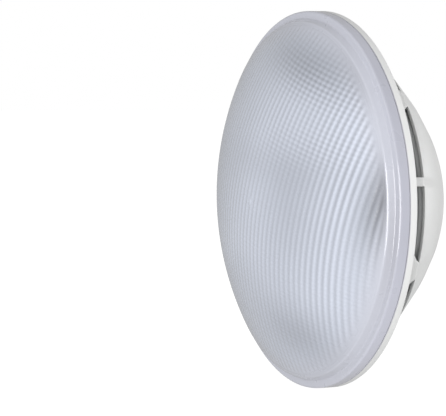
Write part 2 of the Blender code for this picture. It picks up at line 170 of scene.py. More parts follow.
def metal(name, colour, rough, turned=True, tint=None, wear=0.10):
    """Turned or rolled metal: fine tool marks, uneven polish and slight tarnish."""
    m = Mat(name).set(Metallic=1.0)
    marks = m.noise(1500.0, 3.0, 0.6, m.coords((1.0, 0.06, 1.0) if turned else (0.05, 1.0, 1.0)))
    patch = m.noise(180.0, 4.0, 0.6)
    m.colour(m.mix(m.ranged(patch, 0.35, 0.72, 0.0, 1.0), colour, tint or scaled(colour, 1.0 - wear)))
    m.roughness(m.ranged(m.math("ADD", m.math("MULTIPLY", marks, 0.6), m.math("MULTIPLY", patch, 0.4)),
                         0.35, 0.65, rough - 0.07, rough + 0.12))
    m.bump(marks, 0.00001, 0.5)
    return m.m


LENS_TINT = (0.575, 0.61, 0.70)
EDGE_TINT = (0.565, 0.572, 0.64)
RIM_TINT = (0.475, 0.482, 0.555)

# Rows of prisms, in cycles per mm of X and Z: long bowed ridges, crossed by short ones.
RIDGE_X, RIDGE_Z, RIDGE_0, RIDGE_RR, RIDGE_XZ = 0.260, -0.083, -0.34, 1.33e-4, -5.5e-5
CROSS_X, CROSS_Z, CROSS_0 = 0.137, 0.436, -0.77

# Soft patches (strength, x, z, half-width, half-height in mm, tilt in degrees) of painted light and shade
# in the lens colour (tone), and of painted highlights on the long and the cross ridge lines where they show strongest.
# Soft Gaussian patches (strength, x, z, size, size, tilt). Their values were fitted to the
# photo's brightness and then adjusted.
PAINTED_SHADING_PATCHES = [(0.16, 0, 0, 1.1, 1.1, 0), (-0.35, 25, 64, 42, 11, -14), (-0.49, 81.5, 3, 8.5, 25, -19), (-0.27, 20, -62, 28, 14, -7),
                (-0.09, 12, 18, 90, 11, -4), (-0.18, 36, 2, 24, 31, -10), (0.11, -35, -21, 31, 11, 0), (0.065, -4, 2, 20, 30, 0)]
RIDGE_HIGHLIGHT_PATCHES = [(0.20, 80, -5, 5, 20, -12), (0.13, 68, 12, 9, 30, -14), (0.14, 58, 24, 16, 90, -8), (0.08, 15, -25, 59, 26, -33),
                 (0.12, 21, 42, 41, 15, -5), (0.06, 20, 61, 28, 8, -14)]
CROSS_HIGHLIGHT_PATCHES = [(0.13, 34, 56, 34, 10, -18), (0.075, 39, 26, 35, 10, -4), (0.03, 15, -60, 25, 12, 0)]


def lens_material(name, tint=LENS_TINT, rough=0.30, neutral=EDGE_TINT, prisms=False, patterned=True):
    """Frosted polycarbonate: milky body, cooler in the thick middle, greyer at the edge; painted light, shade and
    highlights are laid over it.
    """
    m = Mat(name).set(IOR=1.585, Coat_Weight=1.0, Coat_Roughness=0.09, Coat_IOR=1.585)
    x, y, z = m.split()
    edge = m.math("SQRT", m.math("ADD", m.math("MULTIPLY", x, x), m.math("MULTIPLY", z, z)))
    ring = m.ranged(edge, 0.074, 0.0850, 0.0, 1.0)
    cloud = m.noise(26.0, 3.0, 0.5)
    body = m.ramp(cloud, [(0.3, scaled(tint, 0.965)), (0.55, tint), (0.8, scaled(tint, 1.03))])
    colour = m.mix(m.math("MULTIPLY", ring, 0.8, True), body, neutral)
    # painted light: the rim cylinder is made lighter than RIM_TINT towards its bottom and its top
    rim = m.mix(m.ranged(z, -0.075, -0.015, 1.0, 0.0), RIM_TINT, scaled(RIM_TINT, 1.25))
    rim = m.mix(m.ranged(z, 0.060, 0.078, 0.0, 1.0), rim, scaled(RIM_TINT, 1.15))
    # fixed tones on the rim and flange, set by comparing renders with the photo; painted shade darkens the step and
    # flange around Z = -15 mm
    low = m.math("MULTIPLY", m.math("ADD", z, 0.015), 1.0 / 0.030)
    low = m.math("EXPONENT", m.math("MULTIPLY", m.math("MULTIPLY", low, low), -1.0))
    low = m.math("MULTIPLY", low, m.ranged(edge, 0.0836, 0.0843, 0.0, 1.0))
    colour = m.mix(low, colour, scaled(neutral, 0.83))
    colour = m.mix(m.ranged(edge, 0.0881, 0.0886, 0.0, 1.0), colour, rim)
    if patterned:
        xm, zm = m.math("MULTIPLY", x, 1000.0), m.math("MULTIPLY", z, 1000.0)

        def patches(start, items):
            total = start
            for a, x0, z0, sx, sz, tilt in items:
                t = math.radians(tilt)
                dx, dz = m.math("SUBTRACT", xm, float(x0)), m.math("SUBTRACT", zm, float(z0))
                p = m.math("ADD", m.math("MULTIPLY", dx, math.cos(t) / sx), m.math("MULTIPLY", dz, math.sin(t) / sx))
                q = m.math("SUBTRACT", m.math("MULTIPLY", dz, math.cos(t) / sz), m.math("MULTIPLY", dx, math.sin(t) / sz))
                d = m.math("ADD", m.math("MULTIPLY", p, p), m.math("MULTIPLY", q, q))
                total = m.math("ADD", m.math("MULTIPLY", m.math("EXPONENT", m.math("MULTIPLY", d, -1.0)), a), total)
            return total

        u = m.math("ADD", m.math("MULTIPLY", xm, RIDGE_X), m.math("MULTIPLY", zm, RIDGE_Z))
        rr = m.math("ADD", m.math("MULTIPLY", xm, xm), m.math("MULTIPLY", zm, zm))
        u = m.math("ADD", m.math("ADD", u, RIDGE_0), m.math("MULTIPLY", rr, RIDGE_RR))
        u = m.math("ADD", u, m.math("MULTIPLY", m.math("MULTIPLY", xm, zm), RIDGE_XZ))
        v = m.math("ADD", m.math("ADD", m.math("MULTIPLY", xm, CROSS_X), m.math("MULTIPLY", zm, CROSS_Z)), CROSS_0)
        wave_1 = m.math("COSINE", m.math("MULTIPLY", u, 2.0 * math.pi))
        wave_2 = m.math("COSINE", m.math("MULTIPLY", v, 2.0 * math.pi))
        # painted light and shade: the patches lighten and darken the lens colour, fading out at the edge of the dome
        tone = patches(1.0, PAINTED_SHADING_PATCHES)
        # painted highlights: the prism rows are real, but the bright lines along them are painted, strongest inside
        # the ridge and cross patches and, on the right, out to the edge
        lines = m.math("ADD", m.math("MULTIPLY", patches(-0.005, RIDGE_HIGHLIGHT_PATCHES), wave_1),
                       m.math("MULTIPLY", patches(0.0, CROSS_HIGHLIGHT_PATCHES), wave_2))
        reach = patches(0.0, [(2.6, 83, -4, 12, 30, 0)])
        fade = m.ranged(m.math("SUBTRACT", m.math("MULTIPLY", edge, 1000.0), reach), 78.6, 80.9, 1.0, 0.0)
        lines = m.math("ADD", m.math("MULTIPLY", m.math("MULTIPLY", lines, fade), 1.15), 1.0)
        face = m.ranged(edge, 0.0830, 0.0836, 1.0, 0.0)
        tone = m.math("ADD", m.math("MULTIPLY", m.math("SUBTRACT", tone, 1.0), face), 1.0)
        factor = m.math("MULTIPLY", tone, lines if prisms else 1.0)
        scale = m.nt.nodes.new("ShaderNodeVectorMath")
        scale.operation = "SCALE"
        m.link(colour, scale.inputs[0])
        m.link(factor, scale.inputs["Scale"])
        colour = scale.outputs["Vector"]
    m.colour(colour)
    m.roughness(m.ranged(m.noise(90.0, 3.0), 0.3, 0.7, rough - 0.04, rough + 0.05))
    m.bump(m.noise(1800.0, 2.0, 0.55), 0.000006, 0.5)
    return m.m


M_LENS = lens_material("frosted_lens")
M_PRISM = lens_material("frosted_prisms", rough=0.26, prisms=True)



def painted_shade_band(material, y0, y1, tone):
    """Paint shade onto a material: tint it toward `tone` where Y (in mm) is below y0, fading out at y1."""
    nt = material.node_tree
    principled = nt.nodes["Principled BSDF"]
    base = principled.inputs["Base Color"].links[0].from_socket
    m = Mat.__new__(Mat)
    m.m, m.nt, m.p = material, nt, principled
    m.tc = nt.nodes.new("ShaderNodeTexCoord")
    x, y, z = m.split()
    m.colour(m.mix(m.ranged(y, y0 * 0.001, y1 * 0.001, 1.0, 0.0), base, tone))
    return material


# painted shade on the shell's front lip, standing for the shade in the lens-to-shell seam; the cup is darker down by
# the rim
M_SHELL = painted_shade_band(moulded("white_shell", (0.775, 0.78, 0.775), 0.40, tone=0.025, IOR=1.49), -3.62, -3.45, (0.50, 0.50, 0.54))
# painted shadow: the dark band on the cup below Y = 13 mm stands for the rim's shadow seen through the slots
M_CUP = painted_shade_band(moulded("grey_cup", (0.58, 0.59, 0.59), 0.50, tone=0.06, IOR=1.5), 13.0, 14.0, (0.20, 0.205, 0.205))
M_REFLECT = moulded("white_reflector", (0.82, 0.82, 0.81), 0.34, tone=0.02)
M_SEAL = moulded("silicone_seal", (0.50, 0.51, 0.52), 0.60, grain=0.00001, tone=0.05, mottle=120.0)
M_ORING = moulded("oring_rubber", (0.035, 0.035, 0.036), 0.55, grain=0.000015, tone=0.2, mottle=300.0)
M_STEEL = metal("stainless_steel", (0.60, 0.60, 0.59), 0.26)
M_BRASS = metal("nickelled_brass", (0.74, 0.57, 0.30), 0.27, turned=False, tint=(0.60, 0.42, 0.20))
M_ALU = metal("spreader_aluminium", (0.76, 0.77, 0.78), 0.36, turned=False)

# =====================================================================
# geometry helpers
# =====================================================================


def add_object(name, mesh, mat, sharp=35.0):
    ob = bpy.data.objects.new(name, mesh)
    bpy.context.scene.collection.objects.link(ob)
    if mat is not None:
        mesh.materials.append(mat)
    mesh.shade_smooth()
    if sharp:
        mesh.set_sharp_from_angle(angle=math.radians(sharp))
    return ob


def rounded(points, closed=True, arc=6):
    """Profile (r, y, corner radius) to a dense list of (r, y) with filleted corners."""
    out = []
    n = len(points)
    for i, (r, y, rad) in enumerate(points):
        if rad <= 0.0 or (not closed and i in (0, n - 1)):
            out.append((r, y))
            continue
        p = Vector((r, y))
        a = Vector(points[(i - 1) % n][:2]) - p
        b = Vector(points[(i + 1) % n][:2]) - p
        la, lb = a.length, b.length
        a.normalize()
        b.normalize()
        ang = a.angle(b)
        if ang > math.pi - 0.03:
            out.append((r, y))
            continue
        cut = min(rad / math.tan(ang / 2.0), la * 0.49, lb * 0.49)
        rr = cut * math.tan(ang / 2.0)
        centre = p + (a + b).normalized() * (rr / math.sin(ang / 2.0))
        s, e = p + a * cut - centre, p + b * cut - centre
        turn = s.angle_signed(e)
        for k in range(arc + 1):
            t = -turn * k / arc
            c, sn = math.cos(t), math.sin(t)
            q = centre + Vector((s.x * c - s.y * sn, s.x * sn + s.y * c))
            out.append((q.x, q.y))
    return out


def turned_mesh(name, profile, steps):
    """Closed (r, y) profile in mm turned about the Y axis."""
    n = len(profile)
    verts, ring = [], []
    for r, y in profile:
        if r < 1e-6:
            ring.append([len(verts)])
            verts.append((0.0, y * MM, 0.0))
        else:
            ring.append(list(range(len(verts), len(verts) + steps)))
            for s in range(steps):
                a = 2.0 * math.pi * s / steps
                verts.append((r * MM * math.cos(a), y * MM, r * MM * math.sin(a)))
    faces = []
    for i in range(n):
        a, b = ring[i], ring[(i + 1) % n]
        if len(a) == 1 and len(b) == 1:
            continue
        for s in range(steps):
            t = (s + 1) % steps
            if len(a) == 1:
                faces.append((a[0], b[t], b[s]))
            elif len(b) == 1:
                faces.append((a[s], a[t], b[0]))
            else:
                faces.append((a[s], a[t], b[t], b[s]))
    me = bpy.data.meshes.new(name)
    me.from_pydata(verts, [], faces)
    bm = bmesh.new()
    bm.from_mesh(me)
    bmesh.ops.recalc_face_normals(bm, faces=bm.faces)
    bm.to_mesh(me)
    bm.free()
    return me


def turned(name, profile, mat, steps=192, at=(0, 0, 0), sharp=35.0):
    ob = add_object(name, turned_mesh(name, profile, steps), mat, sharp)
    ob.location = Vector(at) * MM
    return ob


def add_cylinder(bm, r, y0, y1, x=0.0, z=0.0, segments=48, spin=0.0, r2=None):
    made = bmesh.ops.create_cone(bm, cap_ends=True, cap_tris=False, segments=segments, radius1=r * MM,
                                 radius2=(r if r2 is None else r2) * MM, depth=(y1 - y0) * MM)
    turn = Matrix.Rotation(math.radians(spin), 4, "Y") @ Matrix.Rotation(math.radians(-90.0), 4, "X")
    bmesh.ops.transform(bm, matrix=Matrix.Translation(Vector((x, 0.5 * (y0 + y1), z)) * MM) @ turn,
                        verts=made["verts"])


def add_box(bm, sx, sy, sz, x=0.0, y=0.0, z=0.0, spin=0.0):
    made = bmesh.ops.create_cube(bm, size=1.0)
    bmesh.ops.scale(bm, vec=Vector((sx, sy, sz)) * MM, verts=made["verts"])
    bmesh.ops.transform(bm, matrix=Matrix.Translation(Vector((x, y, z)) * MM)
                        @ Matrix.Rotation(math.radians(spin), 4, "Y"), verts=made["verts"])


def to_object(bm, name, mat=None, at=(0, 0, 0), sharp=35.0):
    bmesh.ops.recalc_face_normals(bm, faces=bm.faces)
    me = bpy.data.meshes.new(name)
    bm.to_mesh(me)
    bm.free()
    ob = add_object(name, me, mat, sharp)
    ob.location = Vector(at) * MM
    return ob


def apply(ob, sharp=35.0):
    """Make the modifiers' result the object's own mesh."""
    bpy.context.view_layer.update()
    me = bpy.data.meshes.new_from_object(ob.evaluated_get(bpy.context.evaluated_depsgraph_get()))
    ob.modifiers.clear()
    old = ob.data
    ob.data = me
    bpy.data.meshes.remove(old)
    me.shade_smooth()
    if sharp:
        me.set_sharp_from_angle(angle=math.radians(sharp))


def cut(ob, other, operation="DIFFERENCE"):
    mod = ob.modifiers.new("cut", "BOOLEAN")
    mod.operation = operation
    mod.solver = "EXACT"
    mod.object = other
    apply(ob)
    bpy.data.objects.remove(other)


def soften(ob, width, segments=2, angle=38.0):
    mod = ob.modifiers.new("soften", "BEVEL")
    mod.width = width * MM
    mod.segments = segments
    mod.limit_method = "ANGLE"
    mod.angle_limit = math.radians(angle)
    mod.harden_normals = True
    mod.use_clamp_overlap = True


def around(radius, degrees):
    a = math.radians(degrees)
    return radius * math.cos(a), radius * math.sin(a)


def place(ob, body, *nodes, slot=None):
    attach(ob, body)
    if nodes:
        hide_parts(*nodes)


# =====================================================================
# lens
# =====================================================================
R_DOME, Y_APEX = 145.4, -39.35
Y_C = Y_APEX + R_DOME
R_GRID = 82.6


def dome_y(r, radius=R_DOME):
    return Y_C - math.sqrt(radius * radius - r * r)


POCKET = 0.55
outer = [(0.0, dome_y(0.0) + POCKET)]
outer += [(r, dome_y(r) + POCKET) for r in np.linspace(4.0, R_GRID - 0.5, 20)]
outer += [(r, dome_y(r) + 0.004) for r in np.linspace(R_GRID - 0.35, 82.85, 5)]
corner = rounded([(82.85, dome_y(82.85), 0), (83.85, dome_y(83.85), 1.55), (85.15, -9.4, 0.85),
                  (88.75, -9.4, 1.15), (88.75, -4.15, 0.18), (86.35, -4.15, 0.15), (86.35, -6.6, 0),
                  (82.75, -6.6, 0.2), (82.75, dome_y(82.75, 143.0), 0)], closed=False, arc=9)
inner = [(r, dome_y(r, 143.0)) for r in np.linspace(82.0, 4.0, 14)] + [(0.0, dome_y(0.0, 143.0))]
lens = turned("lens_body", [(float(a), float(b)) for a, b in outer + corner[1:] + inner], M_LENS, steps=288, sharp=35)
place(lens, LAMP, "front_lens", slot="frosted_polycarbonate")

DEPTH_1, DEPTH_2 = 0.22, 0.06


def prism_field():
    """Crossed rows of pillow prisms, one quad grid lined up with the rows."""
    n1, n2 = 6, 6
    iu = int(math.ceil((R_GRID * math.hypot(RIDGE_X, RIDGE_Z) + 2.0) * n1)) + 12
    iv = int(math.ceil(R_GRID * math.hypot(CROSS_X, CROSS_Z) * n2)) + 12
    u = np.arange(-iu, iu + 1) / n1
    v = np.arange(-iv, iv + 1) / n2
    uu, vv = np.meshgrid(u, v, indexing="ij")
    slope = -CROSS_Z / CROSS_X
    z = np.zeros_like(uu)
    for _ in range(20):
        x = (vv - CROSS_0 - CROSS_Z * z) / CROSS_X
        f = RIDGE_X * x + RIDGE_Z * z + RIDGE_0 + RIDGE_RR * (x * x + z * z) + RIDGE_XZ * x * z - uu
        du_dx = RIDGE_X + 2.0 * RIDGE_RR * x + RIDGE_XZ * z
        du_dz = RIDGE_Z + 2.0 * RIDGE_RR * z + RIDGE_XZ * x
        z = np.clip(z - f / np.minimum(du_dx * slope + du_dz, -0.2), -160.0, 160.0)
    x = (vv - CROSS_0 - CROSS_Z * z) / CROSS_X
    r = np.hypot(x, z)
    inside = r <= R_GRID
    quad = inside[:-1, :-1] | inside[1:, :-1] | inside[:-1, 1:] | inside[1:, 1:]
    used = np.zeros_like(inside)
    used[:-1, :-1] |= quad
    used[1:, :-1] |= quad
    used[:-1, 1:] |= quad
    used[1:, 1:] |= quad
    over = used & ~inside
    k = np.where(over, R_GRID / np.maximum(r, 1e-9), 1.0)
    x, z = x * k, z * k
    r = np.hypot(x, z)
    valley_1 = 0.5 - 0.5 * np.cos(2.0 * math.pi * uu)
    valley_2 = 0.5 - 0.5 * np.cos(2.0 * math.pi * vv)
    fade = np.clip((81.9 - r) / 1.8, 0.0, 1.0)
    fade = fade * fade * (3.0 - 2.0 * fade)
    gate = np.clip((r - 1.7) / 1.2, 0.0, 1.0)
    depth = (DEPTH_1 * valley_1 + DEPTH_2 * valley_2) * fade * gate
    depth += 0.14 * np.exp(-((r - 1.6) / 0.45) ** 2)
    depth += 0.06 * np.clip((r - 82.25) / 0.35, 0.0, 1.0)
    y = Y_C - np.sqrt(R_DOME ** 2 - r ** 2) + depth + 0.01
    index = np.full(used.shape, -1)
    index[used] = np.arange(used.sum())
    verts = np.stack((x[used], y[used], z[used]), axis=1) * MM
    a, b = index[:-1, :-1][quad], index[1:, :-1][quad]
    c, d = index[1:, 1:][quad], index[:-1, 1:][quad]
    faces = np.stack((a, b, c, d), axis=1)
    me = bpy.data.meshes.new("lens_prisms")
    me.vertices.add(len(verts))
    me.vertices.foreach_set("co", verts.ravel())
    me.loops.add(faces.size)
    me.loops.foreach_set("vertex_index", faces.ravel())
    me.polygons.add(len(faces))
    me.polygons.foreach_set("loop_start", np.arange(0, faces.size, 4))
    me.polygons.foreach_set("loop_total", np.full(len(faces), 4))
    me.update(calc_edges=True)
    me.validate()
    if me.polygons[len(faces) // 2].normal.y > 0:
        me.flip_normals()
    return me


prisms = add_object("lens_prisms", prism_field(), M_PRISM, sharp=0)
place(prisms, LAMP, slot="frosted_polycarbonate")

# =====================================================================
# rear shell
# =====================================================================
WIDE = [-25.2, 42.35, 115.47, 188.59, 261.71]
WIDE_HALF, NARROW_HALF, FLARE = 3.3, 1.65, 5.0
SLOT_ROWS = [2.0, 3.0, 4.6, 6.6, 8.0, 8.7, 9.3, 9.9, 10.6, 11.3, 12.0, 12.69, 12.97, 13.18, 13.39, 13.9]


def flare(y):
    """How far a wide rib's root spreads, in degrees, at this depth."""
    return float(np.interp(y, (2.0, 8.4, 9.2, 10.2, 12.0, 13.9), (FLARE, FLARE, FLARE * 0.88, FLARE * 0.62, FLARE * 0.20, 0.0)))


def wall_r(y):
    """Outer radius over the slots: cylinder, a small round, then the 45 degree cone."""
    return float(np.interp(y, (12.69, 12.97, 13.18, 13.39, 13.9), (72.0, 71.95, 71.86, 71.71, 71.2)))


def shell_mesh():
    """The vented shell as one regular quad mesh; the slots are openings in its rows and columns."""
    rim = rounded([(68.8, 2.0, 0), (68.8, -2.0, 0.3), (86.4, -2.0, 0.2), (86.4, -3.85, 0.1), (88.75, -3.85, 0.35),
                   (88.75, 0.0, 0.8), (72.0, 0.0, 0.6), (72.0, 2.0, 0)], closed=False, arc=6)
    back = rounded([(71.2, 13.9, 0), (54.1, 31.0, 30.0), (43.0, 40.0, 20.0), (38.5, 43.0, 6.0), (35.5, 44.5, 3.0),
                    (23.0, 44.5, 0.3), (23.0, 41.9, 0.2), (35.4, 41.9, 1.0), (41.5, 38.4, 4.0), (51.5, 30.2, 6.0),
                    (65.2, 17.6, 2.0), (68.8, 14.4, 0.4), (68.8, 13.9, 0)], closed=False, arc=8)
    outer_run = [(wall_r(y), y) for y in SLOT_ROWS]
    inner_run = [(68.8, y) for y in reversed(SLOT_ROWS)]
    rows = [(r, y, FLARE) for r, y in rim[1:-1]]
    o0 = len(rows)
    rows += [(r, y, flare(y)) for r, y in outer_run]
    o1 = len(rows) - 1
    rows += [(r, y, 0.0) for r, y in back[1:-1]]
    i1 = len(rows)
    rows += [(r, y, flare(y)) for r, y in inner_run]
    i0 = len(rows) - 1
    columns = []
    n = len(WIDE)
    for i in range(n):
        w0 = WIDE[i]
        w1 = WIDE[(i + 1) % n] + (360.0 if i == n - 1 else 0.0)
        mid = 0.5 * (w0 + w1)
        for k in range(9):
            columns.append((w0, -WIDE_HALF + 2.0 * WIDE_HALF * k / 8, -1.0 + 2.0 * k / 8, k == 8, k == 0))
        for k in range(1, 22):
            t = k / 22
            columns.append((w0, WIDE_HALF + t * (mid - NARROW_HALF - w0 - WIDE_HALF), 1.0 - t, True, False))
        for k in range(4):
            columns.append((mid, -NARROW_HALF + 2.0 * NARROW_HALF * k / 3, 0.0, k == 3, k == 0))
        for k in range(1, 22):
            t = k / 22
            columns.append((mid, NARROW_HALF + t * (w1 - WIDE_HALF - mid - NARROW_HALF), -t, True, False))
    m, c = len(rows), len(columns)
    verts = []
    for base, off, share, _, _ in columns:
        for r, y, fl in rows:
            a = math.radians(base + off + share * fl)
            verts.append((r * MM * math.cos(a), y * MM, r * MM * math.sin(a)))
    faces = []
    for j in range(c):
        k = (j + 1) % c
        opening = columns[j][3]
        for i in range(m):
            q = (i + 1) % m
            if opening and (o0 <= i < o1 or i1 <= i < i0):
                continue
            faces.append((j * m + i, k * m + i, k * m + q, j * m + q))
        if opening:
            faces.append((j * m + o0, k * m + o0, k * m + i0, j * m + i0))
            faces.append((j * m + o1, j * m + i1, k * m + i1, k * m + o1))
        before = columns[(j - 1) % c][3]
        if opening != before:
            for s in range(o1 - o0):
                faces.append((j * m + o0 + s, j * m + o0 + s + 1, j * m + i0 - s - 1, j * m + i0 - s))
    bm = bmesh.new()
    made = [bm.verts.new(v) for v in verts]
    for f in faces:
        bm.faces.new([made[i] for i in f])
    return bm


shell = to_object(shell_mesh(), "shell_body", M_SHELL)
soften(shell, 0.2)
apply(shell, 50.0)
CASE_DEG = [45.0, 135.0, 225.0, 315.0]
bm = bmesh.new()
for deg in CASE_DEG:
    x, z = around(30.0, deg)
    add_cylinder(bm, 1.9, 40.0, 43.5, x, z, 24)
cut(shell, to_object(bm, "screw_holes"))
bm = bmesh.new()
for deg in CASE_DEG:
    x, z = around(30.0, deg)
    add_cylinder(bm, 3.6, 42.9, 46.0, x, z, 40)
cut(shell, to_object(bm, "screw_seats"))
place(shell, LAMP, "rear_shell", slot="white_shell_plastic")

# =====================================================================
# watertight cup
# =====================================================================
cup_profile = rounded([
    (64.2, -4.3, 0.2), (86.0, -4.3, 0.2), (86.0, -2.3, 0.2), (66.4, -2.3, 0.4), (66.4, 15.4, 1.0),
    (44.0, 33.0, 3.0), (22.5, 33.0, 1.0), (22.5, 45.9, 0.7), (0.0, 45.9, 0), (0.0, 42.9, 0), (20.0, 42.9, 0.5),
    (20.0, 30.8, 0.5), (43.2, 30.8, 2.0), (64.2, 13.8, 1.5), (64.2, 6.5, 0.5), (60.5, 4.0, 0.3), (60.5, 1.6, 0.3),
    (64.2, 1.6, 0.2)], arc=5)
cup = turned("cup_body", cup_profile, M_CUP, steps=192)
bm = bmesh.new()
for k in range(4):
    x, z = around(54.0, 45.0 + 90.0 * k)
    add_cylinder(bm, 3.2, 1.7, 22.0, x, z, 24)
for deg in (30.0, 150.0, 270.0):
    x, z = around(40.0, deg)
    add_cylinder(bm, 3.0, 23.8, 32.0, x, z, 24)
for deg in CASE_DEG:
    x, z = around(30.0, deg)
    add_cylinder(bm, 3.6, 31.9, 41.6, x, z, 24)
cut(cup, to_object(bm, "cup_bosses"), "UNION")
bm = bmesh.new()
for k in range(4):
    x, z = around(54.0, 45.0 + 90.0 * k)
    add_cylinder(bm, 1.7, 0.0, 11.0, x, z, 16)
for deg in (30.0, 150.0, 270.0):
    x, z = around(40.0, deg)
    add_cylinder(bm, 1.4, 20.0, 29.0, x, z, 16)
for deg in CASE_DEG:
    x, z = around(30.0, deg)
    add_cylinder(bm, 1.7, 34.8, 42.4, x, z, 16)
for sx in (-1, 1):
    add_cylinder(bm, 4.3, 41.0, 47.0, sx * 11.5, 0.0, 32)
cut(cup, to_object(bm, "cup_holes"))
bm = bmesh.new()
for sx in (-1, 1):
    add_cylinder(bm, 6.3, 44.3, 47.0, sx * 11.5, 0.0, 40)
cut(cup, to_object(bm, "cup_seats"))
place(cup, LAMP, "inner_cup", slot="grey_cup_plastic")

# =====================================================================
# terminals and screws on the back
# =====================================================================


def cross_cutter(width, length, depth, at):
    """Tapered cross recess, its mouth centred on `at`."""
    bm = bmesh.new()
    for spin in (0.0, 90.0):
        made = bmesh.ops.create_cube(bm, size=1.0)
        for v in made["verts"]:
            deep = v.co.y < 0
            v.co.x *= length * (0.45 if deep else 1.0) * MM
            v.co.z *= width * (0.7 if deep else 1.0) * MM
            v.co.y = (-depth if deep else depth) * MM
        bmesh.ops.rotate(bm, verts=made["verts"], cent=(0, 0, 0), matrix=Matrix.Rotation(math.radians(spin), 3, "Y"))
        if spin == 0.0:
            first = to_object(bm, "cross_a", at=at)
            bm = bmesh.new()
    return first, to_object(bm, "cross_b", at=at)


def pan_head(name, head_r, head_h, shank_r, shank_len, at, mat, pitch=0.8, recess=None, steps=48):
    """Pan-head machine screw pointing along -Y, its head's underside at `at`, with a real helical thread."""
    prof = rounded([(0.0, head_h, 0), (head_r * 0.55, head_h, 1.2), (head_r, head_h * 0.62, head_h * 0.35), (head_r, 0.0, 0.12),
                    (shank_r * 0.86, 0.0, 0.1), (shank_r * 0.86, -0.6, 0), (0.0, -0.6, 0)], arc=5)
    head = turned(name, prof, mat, steps=64, at=at)
    for c in cross_cutter(*(recess or (head_r * 0.26, head_r * 1.45, head_h * 0.52)), (at[0], at[1] + head_h, at[2])):
        cut(head, c)
    turns = int((shank_len - 0.9) / pitch)
    verts, faces = [], []
    per = 28
    shape = ((0.0, shank_r * 0.84), (0.18, shank_r * 0.84), (0.44, shank_r), (0.56, shank_r), (0.82, shank_r * 0.84))
    rows = turns * per + 1
    for i in range(rows):
        a = 2.0 * math.pi * i / per
        y0 = -0.5 - pitch * i / per
        taper = max(0.0, min(1.0, (rows - 1 - i) / per)) * max(0.0, min(1.0, i / (per * 0.5)))
        for t, r in shape:
            rr = shank_r * 0.84 + (r - shank_r * 0.84) * taper
            verts.append((rr * MM * math.cos(a), (y0 - pitch * t) * MM, rr * MM * math.sin(a)))
    m = len(shape)
    for i in range(rows - 1):
        for j in range(m - 1):
            faces.append((i * m + j, (i + 1) * m + j, (i + 1) * m + j + 1, i * m + j + 1))
        if i + per < rows - 1:
            faces.append((i * m + m - 1, (i + 1) * m + m - 1, (i + 1 + per) * m, (i + per) * m))
    me = bpy.data.meshes.new(name + "_thread")
    me.from_pydata(verts, [], faces)
    thread = add_object(name + "_thread", me, mat, 40.0)
    thread.location = Vector(at) * MM
    core = turned(name + "_core", rounded([(0.0, -0.4, 0), (shank_r * 0.845, -0.4, 0), (shank_r * 0.845, -(shank_len - 1.0), 0.3),
                                           (shank_r * 0.5, -shank_len, 0.2), (0.0, -shank_len, 0)], arc=3), mat, steps=40, at=at)
    return head, thread, core


for side, sx in (("left", -1), ("right", 1)):
    x0 = sx * 11.5
    body_w, body_s = "clamp_washer_" + side, "clamp_screw_" + side
    bm = bmesh.new()
    add_box(bm, 11.6, 1.4, 17.0, x0, 46.9, 0.0)
    post = to_object(bm, "post_body_" + side, M_BRASS)
    bm = bmesh.new()
    add_cylinder(bm, 4.0, 36.0, 46.9, x0, 0.0, 48)
    cut(post, to_object(bm, "stem"), "UNION")
    bm = bmesh.new()
    add_cylinder(bm, 5.2, 46.8, 48.0, x0, 0.0, 64)
    cut(post, to_object(bm, "boss"), "UNION")
    bm = bmesh.new()
    add_cylinder(bm, 2.7, 34.6, 49.0, x0, 0.0, 40)
    cut(post, to_object(bm, "bore"))
    soften(post, 0.3, 3)
    apply(post, 50.0)
    place(post, LAMP, "terminal_post_" + side, slot="brass")

    ring = turned("oring_body_" + side, [(5.15 + 0.68 * math.cos(2 * math.pi * k / 14), 0.68 * math.sin(2 * math.pi * k / 14))
                                         for k in range(14)], M_ORING, 64, (x0, 45.05, 0.0), 0)
    place(ring, LAMP, "terminal_oring_" + side, slot="oring_rubber")

    washer = turned("washer_body_" + side, rounded([(2.7, 0.2, 0.1), (4.8, 0.2, 0.25), (4.8, 1.4, 0.25), (2.7, 1.4, 0.12)], arc=4),
                    M_STEEL, 72, (x0, 48.0, 0.0), 30)
    place(washer, body_w, "terminal_washer_" + side, slot="stainless_steel")

    parts = pan_head("clamp_screw_body_" + side, 4.3, 3.0, 2.5, 13.0, (x0, 49.6, 0.0), M_STEEL)
    place(parts[0], body_s, "terminal_screw_" + side, slot="stainless_steel")
    for p in parts[1:]:
        place(p, body_s, slot="stainless_steel")

for k, deg in enumerate(CASE_DEG):
    x, z = around(30.0, deg)
    parts = pan_head("case_screw_body_%d" % (k + 1), 3.2, 1.3, 1.45, 7.6, (x, 43.0, z), M_STEEL, 0.7, (0.75, 3.6, 0.7))
    place(parts[0], LAMP, "case_screw_%d" % (k + 1), slot="stainless_steel")
    for p in parts[1:]:
        place(p, LAMP, slot="stainless_steel")

# =====================================================================
# sealed light engine: the CAD solids keep their shape and get real finishes
# =====================================================================


def board(name, colour, copper):
    m = Mat(name).set(IOR=1.5)
    x, y, z = m.split()
    tracks = m.voronoi(160.0, m.coords((1.0, 0.001, 1.0)), "DISTANCE_TO_EDGE")
    line = m.ranged(tracks, 0.02, 0.05, 1.0, 0.0)
    m.colour(m.mix(m.math("MULTIPLY", line, 0.55, True), m.ramp(m.noise(60.0, 3.0), [(0.3, scaled(colour, 0.93)), (0.7, colour)]), copper))
    m.roughness(m.ranged(m.noise(300.0), 0.3, 0.7, 0.30, 0.42))
    m.bump(line, 0.00003, 0.6)
    return m.m


def glossy(name, colour, rough=0.3, tone=0.08, **extra):
    return moulded(name, colour, rough, grain=0.000005, tone=tone, mottle=240.0, **extra)


